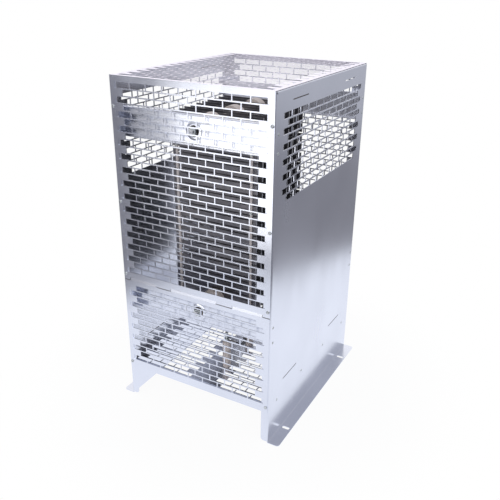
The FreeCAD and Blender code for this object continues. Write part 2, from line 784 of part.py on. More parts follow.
def make_jumpers():
    """Straps that join each grid to the next, in turn at the top and at the bottom."""
    straps = {"upper": [], "lower": []}
    for gap in range(int(number("grid_count")) - 1):
        at_top = gap % 2 == 0
        label = "upper" if at_top else "lower"
        place = "jumper_place" if at_top else "-jumper_place - jumper_width"
        edge = "grid_top - jumper_inset - jumper_height" if at_top else "grid_bottom + jumper_inset"
        start = "grid_first + grid_pitch * %d + grid_sheet" % gap
        name = "%s_jumper_%d" % (label, gap + 1)
        blank = block(name + "_blank", place, start, edge, "jumper_width", "disc_length",
                      "jumper_height")
        floor = edge if at_top else "(%s) + jumper_sheet" % edge
        hollow = block(name + "_hollow", place, "%s + jumper_sheet" % start, floor, "jumper_width",
                       "disc_length - 2 * jumper_sheet", "jumper_height - jumper_sheet")
        straps[label].append(cut(name, blank, hollow))
    group("upper_jumpers", *straps["upper"])
    group("lower_jumpers", *straps["lower"])


def make_posts():
    """Two ceramic terminal posts and an earth stud, with their screws, studs, nuts and lugs."""
    screws, studs, nuts, lugs = [], [], [], []
    x = "post_place_x"
    for label, y in (("front", "front_post_place"), ("rear", "rear_post_place")):
        body = round_bar(label + "_post_body", "Z", x, y, "floor_level", "post_radius", "post_height")
        foot = round_bar(label + "_post_foot_hole", "Z", x, y, "floor_level",
                         "post_screw_radius + screw_clearance", "post_hole_depth")
        top = round_bar(label + "_post_top_hole", "Z", x, y, "post_top - post_hole_depth",
                        "stud_radius + screw_clearance", "post_hole_depth")
        keep(label + "_post", cut(label + "_post", body, foot, top))
        screws.append(headed_stud(label + "_post_screw", x, y, "post_screw_width", "post_screw_head",
                                  "post_screw_radius", "panel_sheet + post_hole_depth - blind_gap"))
        studs.append(round_bar(label + "_stud", "Z", x, y, "post_top - post_hole_depth + blind_gap",
                               "stud_radius", "stud_height + post_hole_depth - blind_gap"))
        nuts.append(hex_ring(label + "_stud_nut", "Z", x, y, "post_top + lug_sheet",
                             "stud_nut_width", "stud_radius + screw_clearance", "stud_nut_height"))
        lugs.append(make_lug(label, x, y, "X" if label == "front" else "Y"))
    studs.append(headed_stud("earth_stud", "0", "earth_stud_place", "stud_nut_width",
                             "stud_head_height", "stud_radius", "panel_sheet + stud_height"))
    nuts.append(hex_ring("earth_nut", "Z", "0", "earth_stud_place", "floor_level", "stud_nut_width",
                         "stud_radius + screw_clearance", "stud_nut_height"))
    group("post_screws", *screws)
    group("terminal_studs", *studs)
    group("terminal_nuts", *nuts)
    group("lead_lugs", *lugs)


def headed_stud(name, x, y, across, head, radius, reach):
    """A hexagon-headed screw that stands up through the floor plate from below."""
    seat = "floor_level - panel_sheet"
    return fuse(
        name,
        hex_bar(name + "_head", "Z", x, y, "%s - %s" % (seat, head), across, head),
        round_bar(name + "_shank", "Z", x, y, seat, radius, reach),
    )


def make_lug(label, x, y, along):
    """A ring lug on a terminal stud: its eye, its tongue and the barrel that takes the lead."""
    name = label + "_lug"
    eye = round_bar(name + "_eye", "Z", x, y, "post_top", "lug_width / 2", "lug_sheet")
    reach = "lug_length - barrel_length"
    if along == "X":
        tongue = block(name + "_tongue", x, y + " - barrel_radius", "post_top", reach,
                       "2 * barrel_radius", "lug_sheet")
        barrel = round_bar(name + "_barrel", "X", "%s + %s" % (x, reach), y, "lead_level",
                           "barrel_radius", "barrel_length")
    else:
        tongue = block(name + "_tongue", x + " - barrel_radius", y, "post_top", "2 * barrel_radius",
                       reach, "lug_sheet")
        barrel = round_bar(name + "_barrel", "Y", x, "%s + %s" % (y, reach), "lead_level",
                           "barrel_radius", "barrel_length")
    bore = round_bar(name + "_hole", "Z", x, y, "post_top", "stud_radius + screw_clearance",
                     "lug_sheet")
    return cut(name, fuse(name + "_body", eye, tongue, barrel), bore)


def make_end_tabs():
    """Tabs that bring the two free ends of the bank down to the leads."""
    tabs = []
    for label, face, middle in (
        ("front", "grid_first - tab_sheet", "front_post_place"),
        ("rear", "grid_end", "rear_tab_place"),
    ):
        plate = block(label + "_tab_plate", "tab_place - tab_width / 2", face,
                      "tab_bottom + barrel_length / 2", "tab_width", "tab_sheet",
                      "tab_top - tab_bottom - barrel_length / 2")
        barrel = round_bar(label + "_tab_barrel", "Z", "tab_place", middle, "tab_bottom",
                           "barrel_radius", "barrel_length")
        tabs.append(fuse(label + "_tab", plate, barrel))
    group("end_tabs", *tabs)


def bent_lead(name, route):
    """A round lead whose runs each go up one axis, with a quarter bend at every corner.

    route is a list of points; each point is three formulas.
    """
    pieces, earlier = [], None
    for index, (start, end) in enumerate(zip(route, route[1:])):
        slot = next(way for way in range(3) if number(end[way]) - number(start[way]) > 0.01)
        axis = "XYZ"[slot]
        before = "lead_bend" if index else "0"
        after = "lead_bend" if index < len(route) - 2 else "0"
        place = list(start)
        place[slot] = "%s + %s" % (start[slot], before)
        length = "(%s) - (%s) - %s - %s" % (end[slot], start[slot], before, after)
        pieces.append(round_bar("%s_run_%d" % (name, index), axis, *place, "lead_radius", length))
        if earlier is not None:
            came, goes = SQUARE_AXES["XYZ"[earlier]], SQUARE_AXES[axis]
            bend = doc.addObject("Part::Torus", "%s_bend_%d" % (name, index))
            bend.Angle3 = 90
            bend.Placement.Rotation = FreeCAD.Rotation(-goes, came, came.cross(goes), "XYZ")
            drive(bend, Radius1="lead_bend", Radius2="lead_radius")
            centre = list(start)
            centre[earlier] = "%s - lead_bend" % start[earlier]
            centre[slot] = "%s + lead_bend" % start[slot]
            pieces.append(put(bend, *centre))
        earlier = slot
    return keep(name, fuse(name, *pieces))


def make_leads():
    """Sleeved leads between the lugs on the posts and the end tabs of the bank."""
    bent_lead("front_lead", [
        ("post_place_x + lug_length", "front_post_place", "lead_level"),
        ("tab_place", "front_post_place", "lead_level"),
        ("tab_place", "front_post_place", "tab_bottom"),
    ])
    bent_lead("rear_lead", [
        ("post_place_x", "rear_post_place + lug_length", "lead_level"),
        ("post_place_x", "rear_tab_place", "lead_level"),
        ("tab_place", "rear_tab_place", "lead_level"),
        ("tab_place", "rear_tab_place", "tab_bottom"),
    ])


def headed_pin(name, along, x, y, z, outward, shank_radius, reach, head_radius, head_height):
    """A screw with its seat at a point; outward is the sign that its head points along."""
    place = {"X": x, "Y": y, "Z": z}
    back = dict(place)
    if outward < 0:
        place[along] = back[along] = "(%s) - %s" % (place[along], head_height)
    else:
        back[along] = "(%s) - (%s)" % (back[along], reach)
    head = round_bar(name + "_head", along, place["X"], place["Y"], place["Z"], head_radius, head_height)
    shank = round_bar(name + "_shank", along, back["X"], back["Y"], back["Z"], shank_radius,
                      "(%s) + %s" % (reach, head_height))
    return fuse(name, head, shank)


def make_fasteners():
    """Screws of the front grille, the terminal cover and the rear panel."""
    front, cover, rear = [], [], []
    screw = ("screw_radius", "screw_reach", "head_radius", "head_height")
    for label, x in zip(("left", "right"), both_sides("screw_place_x")):
        for spot, level in enumerate(PANEL_SCREW_LEVELS):
            front.append(headed_pin("front_screw_%s_%d" % (label, spot), "Y", x, "-front_plane", level,
                                    -1, *screw))
        cover.append(headed_pin("cover_screw_" + label, "Y", x, "-front_plane", "screw_level_cover",
                                -1, *screw))
        for spot, level in enumerate(PANEL_SCREW_LEVELS + ["screw_level_cover"]):
            rear.append(headed_pin("rear_screw_%s_%d" % (label, spot), "Y", x, "front_plane", level,
                                   1, *screw))
    group("front_grille_screws", *front)
    group("cover_screws", *cover)
    group("rear_grille_screws", *rear)


def write_parts():
    """Check every object and write each sub-part to its own file."""
    doc.recompute()
    for thing in doc.Objects:
        if "Invalid" in thing.State or "Error" in thing.State:
            raise RuntimeError("%s failed: %s" % (thing.Name, thing.State))
    os.makedirs("parts", exist_ok=True)
    for node in nodes:
        shape = node.Shape
        if shape.isNull() or not shape.isValid() or not shape.Solids:
            raise RuntimeError(node.Label + " has no valid solid")
        shape.exportStep("parts/%s.step" % node.Label)
        print("%-22s %3d solids %12.0f mm3" % (node.Label, len(shape.Solids), shape.Volume))


make_side_walls()
make_lid()
make_front_panels()
make_rear_panel()
make_floor()
make_rails()
make_rods()
make_grids()
make_edge_bars()
make_jumpers()
make_posts()
make_end_tabs()
make_leads()
make_fasteners()
write_parts()
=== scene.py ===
"""Looks of a free-standing braking resistor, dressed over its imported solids.

The cage is bright cold-rolled stainless sheet, punched with brick-shaped holes. Inside hang
dark resistor grids on insulated rods, above a terminal compartment. All sizes are in metres, in
the frame of the solids: X to the right, the front towards -Y, Z up, the origin under the middle.
"""
from __future__ import annotations

import functools
import json
import logging
import math
from dataclasses import dataclass, field
from enum import Enum
from typing import Sequence

import bpy
import numpy as np
from mathutils import Matrix, Vector

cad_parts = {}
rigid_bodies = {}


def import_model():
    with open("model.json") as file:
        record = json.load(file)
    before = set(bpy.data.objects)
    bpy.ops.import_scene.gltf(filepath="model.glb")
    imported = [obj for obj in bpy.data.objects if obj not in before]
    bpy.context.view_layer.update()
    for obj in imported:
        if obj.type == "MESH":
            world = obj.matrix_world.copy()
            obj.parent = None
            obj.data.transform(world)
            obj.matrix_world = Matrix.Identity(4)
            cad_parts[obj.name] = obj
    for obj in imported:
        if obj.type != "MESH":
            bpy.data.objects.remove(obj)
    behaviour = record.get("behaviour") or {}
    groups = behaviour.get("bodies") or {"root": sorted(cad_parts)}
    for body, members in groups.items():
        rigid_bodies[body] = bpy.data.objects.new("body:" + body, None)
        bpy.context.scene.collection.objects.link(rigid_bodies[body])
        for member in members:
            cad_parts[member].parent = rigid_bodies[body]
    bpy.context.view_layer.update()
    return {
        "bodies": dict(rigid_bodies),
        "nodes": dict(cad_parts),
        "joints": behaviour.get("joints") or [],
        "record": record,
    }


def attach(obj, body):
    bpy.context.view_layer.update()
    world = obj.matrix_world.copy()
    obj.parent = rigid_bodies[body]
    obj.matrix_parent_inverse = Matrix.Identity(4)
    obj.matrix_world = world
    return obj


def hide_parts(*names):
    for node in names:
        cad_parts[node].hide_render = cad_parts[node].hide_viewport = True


log = logging.getLogger("braking_resistor")
Colour = tuple[float, float, float]
Point = Sequence[float]
Span = tuple[float, float]
Pairs = Sequence[tuple[float, float]]
Socket = bpy.types.NodeSocket
Node = bpy.types.Node
Layout = tuple[Socket, Socket, Socket]

SIDES = (-1, 1)
UP = (0, 0, 1)
WHITE = (1.0, 1.0, 1.0)
CELL_DIGITS = 6
CLOUD_MIDDLE = (0.3, 0.7)


class Body(Enum):
    """The two bodies that pieces ride on."""

    CAGE = "cage"
    COVER = "cover"


class Slot(Enum):
    """Material slots of the record, passed with each new piece; its finish comes from its look."""

    SHEET = "casing_steel"
    ELEMENT = "element_steel"
    CERAMIC = "ceramic"
    BUSH = "bush_insulator"
    FASTENER = "fastener_steel"


@dataclass
class Shell:
    """A closed surface: points (n, 3), four-sided faces (m, 4) and three-sided ones (k, 3)."""

    points: np.ndarray
    quads: np.ndarray
    triangles: np.ndarray = field(default_factory=lambda: np.zeros((0, 3), int))

    def upright(self) -> "Shell":
        """A flat pattern stood up: along stays X, up becomes Z and out points to the front."""
        return Shell(self.points[:, [0, 2, 1]] * (1, -1, 1), self.quads, self.triangles)

    def moved(self, step: Point) -> "Shell":
        """The same surface shifted by a vector."""
        return Shell(self.points + np.asarray(step, float), self.quads, self.triangles)


def joined(shells: Sequence[Shell]) -> Shell:
    """Put several surfaces into one mesh, each still closed by itself."""
    starts = np.cumsum([0] + [len(shell.points) for shell in shells])
    return Shell(
        np.concatenate([shell.points for shell in shells]),
        np.concatenate([shell.quads + start for shell, start in zip(shells, starts)]),
        np.concatenate([shell.triangles + start for shell, start in zip(shells, starts)]),
    )


def between(side: int, outer: float, inner: float) -> list[float]:
    """Two places on one side of the middle, the lower one first."""
    return sorted((side * outer, side * inner))


def prism(left: float, right: float, section: Pairs) -> Shell:
    """A bar along X with a four-cornered section.

    Args:
        left: where the bar starts.
        right: where it ends.
        section: its corners (y, z): low front, low back, high back and high front.

    Returns:
        The closed bar.
    """
    points = np.concatenate([np.insert(np.array(section), 0, x, axis=1) for x in (left, right)])
    return Shell(points, np.array([[3, 2, 1, 0], [4, 5, 6, 7], [1, 5, 4, 0], [2, 6, 5, 1],
                                   [3, 7, 6, 2], [0, 4, 7, 3]]))


def bar(low: Point, high: Point) -> Shell:
    """A plain rectangular bar between two corners."""
    (left, front, under), (right, back, over) = low, high
    return prism(left, right, ((front, under), (back, under), (back, over), (front, over)))


def punched(edges: Sequence[float], cuts: np.ndarray, under: float, over: float) -> Shell:
    """A plate with rectangular holes, divided into cells along the edges of every hole.

    A cell is metal where its middle is in no hole. It gets a face above and one below, and a
    wall wherever the cell beside it is empty.

    Args:
        edges: the plate's left, right, low and high edge.
        cuts: one row (left, right, low, high) per hole, which may run over an edge.
        under: height of the under face.
        over: height of the upper face.

    Returns:
        The plate in its own axes (along, up, out).
    """
    along, up = (
        np.unique(np.round(np.clip([low, high, *pairs.ravel()], low, high), CELL_DIGITS))
        for low, high, pairs in ((*edges[:2], cuts[:, :2]), (*edges[2:], cuts[:, 2:])))
    x = (along[:-1] + along[1:])[:, None, None] / 2
    y = (up[:-1] + up[1:])[None, :, None] / 2
    inside = (x > cuts[:, 0]) & (x < cuts[:, 1]) & (y > cuts[:, 2]) & (y < cuts[:, 3])
    solid = ~inside.any(-1)
    ring = np.pad(solid, 1)
    faces = []
    for beside, corners in (
            (False, ((0, 0, 1), (1, 0, 1), (1, 1, 1), (0, 1, 1))),
            (False, ((0, 0, 0), (0, 1, 0), (1, 1, 0), (1, 0, 0))),
            (ring[:-2, 1:-1], ((0, 0, 0), (0, 0, 1), (0, 1, 1), (0, 1, 0))),
            (ring[2:, 1:-1], ((1, 0, 0), (1, 1, 0), (1, 1, 1), (1, 0, 1))),
            (ring[1:-1, :-2], ((0, 0, 0), (1, 0, 0), (1, 0, 1), (0, 0, 1))),
            (ring[1:-1, 2:], ((0, 1, 0), (0, 1, 1), (1, 1, 1), (1, 1, 0)))):
        i, j = np.nonzero(solid & np.logical_not(beside))
        faces.append(np.stack([((i + a) * len(up) + j + b) * 2 + c for a, b, c in corners], 1))
    grid = np.stack(np.meshgrid(along, up, [under, over], indexing="ij"), -1).reshape(-1, 3)
    used, flat = np.unique(np.concatenate(faces), return_inverse=True)
    return Shell(grid[used], flat.reshape(-1, 4))


def turned(radii: np.ndarray, heights: np.ndarray, centre: Point, axis: Point,
           ring: bool = False) -> Shell:
    """A surface carried round an axis: point = centre + r(angle, step) * outward + h(step) * axis.

    Args:
        radii: one radius per angle and profile step, (angles, steps).
        heights: the profile's heights, (steps,).
        centre: where height 0 lies.
        axis: the direction of growing height.
        ring: whether the profile closes on itself, as round a bore; otherwise both ends are
            closed with a fan of triangles.

    Returns:
        The closed surface in the frame.
    """
    angles, steps = radii.shape
    out = np.asarray(axis, float) / np.linalg.norm(axis)
    aside = np.cross(out, UP if abs(out[2]) < 0.9 else (1, 0, 0))
    aside /= np.linalg.norm(aside)
    third = np.cross(out, aside)
    turn = np.linspace(0, 2 * np.pi, angles, endpoint=False)[:, None, None]
    rim = radii[:, :, None] * (np.cos(turn) * aside + np.sin(turn) * third)
    points = (np.asarray(centre, float) + rim + heights[None, :, None] * out).reshape(-1, 3)
    i, j = np.meshgrid(np.arange(angles), np.arange(steps if ring else steps - 1), indexing="ij")
    i, j = i.ravel(), j.ravel()
    here, after, higher = i * steps, (i + 1) % angles * steps, (j + 1) % steps
    quads = np.stack([here + j, after + j, after + higher, here + higher], 1)
    if ring:
        return Shell(points, quads)
    spot = np.arange(angles) * steps
    later = np.roll(spot, -1)
    ends = np.asarray(centre, float) + np.outer([heights[0], heights[-1]], out)
    fans = np.concatenate([
        np.stack([np.full(angles, len(points)), later, spot], 1),
        np.stack([np.full(angles, len(points) + 1), spot + steps - 1, later + steps - 1], 1),
    ])
    return Shell(np.concatenate([points, ends]), quads, fans)


def lathe(profile: Pairs, angles: int, centre: Point, axis: Point, ring: bool = False) -> Shell:
    """A round body with a profile of (radius, height) pairs; the rest is as for turned()."""
    radii, heights = np.asarray(profile, float).T
    return turned(np.tile(radii, (angles, 1)), heights, centre, axis, ring)


def hexagon(across: float, angles: int) -> np.ndarray:
    """Radius of a hexagon at each angle: (across / 2) / cos(angle folded to within 30 degrees)."""
    turn = np.linspace(0, 2 * np.pi, angles, endpoint=False)
    folded = (turn + np.pi / 6) % (np.pi / 3) - np.pi / 6
    return across / 2 / np.cos(folded)


@dataclass(frozen=True)
class Pattern:
    """A cloud pattern of a scale and detail, stretched by a factor along each axis."""

    scale: float
    detail: float
    stretch: Point = (1.0, 1.0, 1.0)


class Graph:
    """The node tree of a material or the world, with short calls to add and join nodes."""

    def __init__(self, owner: bpy.types.Material | bpy.types.World, place: str = "Object") -> None:
        """Open the owner's tree.

        Args:
            owner: the material or world.
            place: the coordinates that its patterns use.
        """
        owner.use_nodes = True
        self.owner, self.tree = owner, owner.node_tree
        self.place = self.add("TexCoord").outputs[place]

    def feed(self, end: Socket, value: object) -> None:
        """Link an output to an input, or set the input; a colour is given as three numbers."""
        if isinstance(value, Socket):
            self.tree.links.new(value, end)
        else:
            end.default_value = (*value, 1) if end.type == "RGBA" else value

    def add(self, kind: str, *inputs: object, **settings: object) -> Node:
        """Add a node.

        Args:
            kind: its kind, without the usual start of the name.
            inputs: what goes into its first inputs, in their order.
            settings: its properties, and inputs, which are named with a capital.

        Returns:
            The node.
        """
        node = self.tree.nodes.new("ShaderNode" + kind)
        for name, value in settings.items():
            if name[0].isupper():
                self.feed(node.inputs[name.replace("_", " ")], value)
            else:
                setattr(node, name, value)
        for end, value in zip(node.inputs, inputs):
            self.feed(end, value)
        return node

    def stretched(self, scale: Point) -> Socket:
        """The coordinates stretched by a factor along each axis."""
        return self.add("Mapping", Vector=self.place, Scale=scale).outputs[0]

    def noise(self, pattern: Pattern) -> Socket:
        """A cloud pattern between 0 and 1."""
        return self.add("TexNoise", Vector=self.stretched(pattern.stretch), Scale=pattern.scale,
                        Detail=pattern.detail).outputs["Fac"]

    def ranged(self, value: Socket, low: float, high: float) -> Socket:
        """A pattern's middle part spread between two numbers."""
        return self.add("MapRange", value, *CLOUD_MIDDLE, low, high).outputs[0]

    def eased(self, value: Socket, start: float, end: float, low: float = 0.0,
              high: float = 1.0) -> Socket:
        """A smooth step from low to high while a number goes from start to end."""
        return self.add("MapRange", value, start, end, low, high,
                        interpolation_type="SMOOTHSTEP").outputs[0]

    def blended(self, share: Socket, first: Colour | Socket, second: Colour | Socket) -> Socket:
        """Two colours, given or made by other nodes, mixed by a pattern."""
        node = self.add("Mix", share, data_type="RGBA")
        self.feed(node.inputs[6], first)
        self.feed(node.inputs[7], second)
        return node.outputs[2]

    def measured(self, operation: str, way: Point = (0, 0, 0)) -> Socket:
        """A number taken from the coordinates: their LENGTH, or DOT_PRODUCT with a way."""
        return self.add("VectorMath", self.place, way, operation=operation).outputs["Value"]

    def combined(self, operation: str, first: Socket, second: Socket) -> Socket:
        """Two numbers put together by an operation."""
        return self.add("Math", first, second, operation=operation).outputs[0]

    def chosen(self, share: Socket, first: Node, second: Node) -> Node:
        """Two shaders mixed: the second one shows where the share is 1."""
        return self.add("MixShader", share, first.outputs[0], second.outputs[0])

    def settle(self, node: str, **inputs: object) -> None:
        """Feed inputs of a node that the tree starts with."""
        for name, value in inputs.items():
            self.feed(self.tree.nodes[node].inputs[name.replace("_", " ")], value)


@dataclass(frozen=True)
class Finish:
    """What all finishes share: two tones, a span of roughness, a bump's depth and strength."""

    name: str
    tone: Colour
    shade: Colour
    roughness: Span
    bump: Span
    metallic: float

    def patterns(self, graph: Graph) -> Layout:
        """The patterns that lay out the tones, the roughness and the relief."""
        raise NotImplementedError

    def material(self) -> bpy.types.Material:
        """Build the node tree."""
        graph = Graph(bpy.data.materials.new(self.name))
        tones, gloss, height = self.patterns(graph)
        depth, strength = self.bump
        bump = graph.add("Bump", Distance=depth, Strength=strength, Height=height)
        graph.settle("Principled BSDF", Base_Color=graph.blended(tones, self.tone, self.shade),
                     Roughness=graph.ranged(gloss, *self.roughness), Metallic=self.metallic,
                     Normal=bump.outputs[0])
        return graph.owner


@dataclass(frozen=True)
class CloudedFinish(Finish):
    """A finish laid out by three cloud patterns."""

    clouds: Pattern
    gloss: Pattern
    relief: Pattern
    shade_share: float = 1.0

    def patterns(self, graph: Graph) -> Layout:
        """One cloud pattern for each of the three."""
        tones = graph.ranged(graph.noise(self.clouds), 0.0, self.shade_share)
        return tones, graph.noise(self.gloss), graph.noise(self.relief)


@dataclass(frozen=True)
class SheetSteel(CloudedFinish):
    """Cold-rolled stainless sheet: satin, faintly blue, with cloudy gloss and a rolled grain."""

    name: str = "stainless_sheet"
    tone: Colour = (0.78, 0.80, 0.87)
    shade: Colour = (0.72, 0.74, 0.81)
    roughness: Span = (0.18, 0.28)
    bump: Span = (0.0001, 0.08)
    metallic: float = 1.0
    clouds: Pattern = Pattern(5.0, 4.0)
    gloss: Pattern = Pattern(9.0, 5.0, (1.0, 1.0, 0.35))
    relief: Pattern = Pattern(1.0, 2.0, (40.0, 40.0, 900.0))


@dataclass(frozen=True)
class ElementSteel(CloudedFinish):
    """Heat-resistant resistor alloy: dark grey, half gloss, faintly tinted by heat."""

    name: str = "resistor_alloy"
    tone: Colour = (0.13, 0.13, 0.15)
    shade: Colour = (0.21, 0.20, 0.21)
    roughness: Span = (0.36, 0.52)
    bump: Span = (0.0001, 0.15)
    metallic: float = 0.85
    clouds: Pattern = Pattern(14.0, 4.0, (1.0, 1.0, 0.5))
    gloss: Pattern = Pattern(60.0, 3.0)
    relief: Pattern = Pattern(300.0, 2.0)


@dataclass(frozen=True)
class Ceramic(CloudedFinish):
    """Unglazed steatite: cream, matt, with fine specks."""

    name: str = "steatite"
    tone: Colour = (0.69, 0.62, 0.58)
    shade: Colour = (0.58, 0.51, 0.46)
    roughness: Span = (0.48, 0.66)
    bump: Span = (0.0001, 0.2)
    metallic: float = 0.0
    clouds: Pattern = Pattern(420.0, 3.0)
    gloss: Pattern = Pattern(90.0, 2.0)
    relief: Pattern = Pattern(600.0, 2.0)
    shade_share: float = 0.7


@dataclass(frozen=True)
class DarkMicaAndShade(CloudedFinish):
    """Dark pressed mica with faint layers, for the rod bushes; the same finish is painted shade in
    the wall slots and under the cover's tongues.
    """

    name: str = "mica_and_painted_shade"
    tone: Colour = (0.045, 0.04, 0.04)
    shade: Colour = (0.10, 0.085, 0.07)
    roughness: Span = (0.35, 0.55)
    bump: Span = (0.0002, 0.3)
    metallic: float = 0.0
    clouds: Pattern = Pattern(30.0, 3.0, (1.0, 40.0, 1.0))
    gloss: Pattern = Pattern(120.0, 2.0)
    relief: Pattern = Pattern(30.0, 3.0, (1.0, 40.0, 1.0))


@dataclass(frozen=True)
class BrightMetal(CloudedFinish):
    """Small turned or pressed metal pieces: shiny, with a fine tooled grain."""

    bump: Span = (0.00003, 0.1)
    metallic: float = 1.0
    clouds: Pattern = Pattern(200.0, 2.0)
    gloss: Pattern = Pattern(500.0, 2.0)
    relief: Pattern = Pattern(900.0, 1.0)


@dataclass(frozen=True)
class WovenSleeve(Finish):
    """Heat-proof sleeve: dark woven glass fibre, two crossing sets of threads."""

    name: str = "woven_sleeve"
    tone: Colour = (0.035, 0.035, 0.04)
    shade: Colour = (0.11, 0.11, 0.12)
    roughness: Span = (0.55, 0.75)
    bump: Span = (0.0004, 0.6)
    metallic: float = 0.0
    threads: float = 260.0

    def patterns(self, graph: Graph) -> Layout:
        """One weave for all three."""
        waves = [
            graph.add("TexWave", Vector=graph.stretched(turn), Scale=self.threads, Distortion=0.6,
                      Detail=1.0, bands_direction="DIAGONAL").outputs["Fac"]
            for turn in ((1, 1, 1), (-1, 1, 1))
        ]
        weave = graph.combined("MAXIMUM", *waves)
        return weave, weave, weave


class Look(Enum):
    """Every finish in use."""

    SHEET = SheetSteel()
    # Rails: paler copies of the sheet steel, painted light so that the rails read brighter through
    # the holes; the pale rail is also rougher.
    RAIL_PAINTED_LIGHT = SheetSteel("rail_sheet", (0.88, 0.90, 0.96), (0.82, 0.84, 0.90), (0.20, 0.28))
    PALE_RAIL_PAINTED_LIGHT = SheetSteel("pale_rail_sheet", (0.90, 0.91, 0.95), (0.84, 0.85, 0.90), (0.42, 0.52))
    # The lid: the sheet steel painted paler and pinker, painted light so that its webs read
    # brighter.
    LID_PAINTED_LIGHT = SheetSteel("lid_sheet_painted_light", (0.94, 0.905, 0.97), (0.88, 0.845, 0.92), (0.42, 0.52))
    ELEMENT = ElementSteel()
    # Grid edges: bright sheared metal, and partly a painted highlight of the edges catching light.
    CUT_EDGE_AND_HIGHLIGHT = BrightMetal("sheared_edge_and_highlight", (0.60, 0.59, 0.58), (0.42, 0.41, 0.41), (0.35, 0.48))
    CERAMIC = Ceramic()
    MICA = Ceramic("pressed_mica", (0.62, 0.57, 0.55), (0.50, 0.46, 0.44))
    # Dark mica for the bushes, and painted shade for the slot plates and the tongue gaps.
    DARK_MICA_AND_SHADE = DarkMicaAndShade()
    FASTENER = BrightMetal("stainless_fastener", (0.65, 0.68, 0.67), (0.54, 0.57, 0.56),
                           (0.33, 0.46))
    SCREW = BrightMetal("stainless_screw", (0.60, 0.62, 0.63), (0.48, 0.50, 0.51), (0.21, 0.34))
    BLACKENED = BrightMetal("blackened_washer", (0.10, 0.10, 0.11), (0.06, 0.06, 0.07),
                            (0.35, 0.48))
    ROD = BrightMetal("zinc_plated_rod", (0.66, 0.66, 0.67), (0.52, 0.52, 0.54), (0.25, 0.38))
    TIN = BrightMetal("tinned_copper", (0.78, 0.78, 0.77), (0.66, 0.65, 0.62), (0.27, 0.40))
    SLEEVE = WovenSleeve()


class Workshop:
    """Makes objects from surfaces, dresses them and fastens them to their bodies."""

    def __init__(self, frame: dict) -> None:
        """Keep the frame's solids and build every finish once."""
        self.nodes: dict[str, bpy.types.Object] = frame["nodes"]
        self.materials = {look: look.value.material() for look in Look}

    def dress(self, look: Look, *names: str) -> None:
        """Give solids of the frame a better material."""
        material = self.materials[look]
        for name in names:
            slots = self.nodes[name].material_slots
            if not slots:
                self.nodes[name].data.materials.append(material)
            for place in slots:
                place.material = material
            log.info("dressed %s in %s", name, material.name)

    def piece(self, name: str, shells: Sequence[Shell], look: Look, slot: Slot,
              body: Body = Body.CAGE, replaced: Sequence[str] = (), smooth: float = 35.0,
              edges: Look | None = None) -> None:
        """Make one object and fasten it to its body.

        Args:
            name: the object's name.
            shells: the closed surfaces that it is made of.
            look: its finish.
            slot: the record's slot for its finish; not used.
            body: the body that it rides on.
            replaced: the frame's nodes that it stands for.
            smooth: edges flatter than this angle, in degrees, are shaded smooth.
            edges: the finish of sheared edges, the faces that don't look along Y; lighter than the
                faces, as bright sheared metal and partly as a painted highlight of edges catching
                light.
        """
        shell = joined(shells)
        mesh = bpy.data.meshes.new(name)
        mesh.from_pydata(shell.points.tolist(), [], shell.quads.tolist() + shell.triangles.tolist())
        mesh.polygons.foreach_set("use_smooth", np.ones(len(mesh.polygons), bool))
        mesh.set_sharp_from_angle(angle=math.radians(smooth))
        mesh.materials.append(self.materials[look])
        if edges:
            mesh.materials.append(self.materials[edges])
            normals = np.zeros(3 * len(mesh.polygons), np.float32)
            mesh.polygons.foreach_get("normal", normals)
            mesh.polygons.foreach_set("material_index", (abs(normals[1::3]) < 0.5).astype(np.int32))
        mesh.update()
        thing = bpy.data.objects.new(name, mesh)
        bpy.context.scene.collection.objects.link(thing)
        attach(thing, body.value)
        if replaced:
            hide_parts(*replaced)
        log.info("%s: %d faces on %s", name, len(mesh.polygons), body.value)


@dataclass
class BrickPattern:
    """Rows of brick-shaped holes, each row shifted by half a pitch against the next."""

    length: float = 0.0415
    height: float = 0.0136
    pitch: float = 0.044
    row_pitch: float = 0.0164
    wide: int = 9

    def rows(self, first: float, count: int, wide_out: Point = (),
             narrow_out: Point = ()) -> np.ndarray:
        """Holes of a field that steps down from its first row, the first row being a wide one.

        Args:
            first: level of the first row's middle.
            count: how many rows there are.
            wide_out: middles of the holes that the wide rows lack.
            narrow_out: middles of the holes that the narrow rows lack.

        Returns:
            One row (left, right, low, high) per hole.
        """
        holes = []
        for turn in range(count):
            bricks, left_out = (self.wide - 1, narrow_out) if turn % 2 else (self.wide, wide_out)
            level = first - self.row_pitch * turn
            holes += [(x - self.length / 2, x + self.length / 2, level - self.height / 2,
                       level + self.height / 2)
                      for x in (np.arange(bricks) - (bricks - 1) / 2) * self.pitch
                      if not np.any(np.isclose(x, left_out))]
        return np.array(holes)


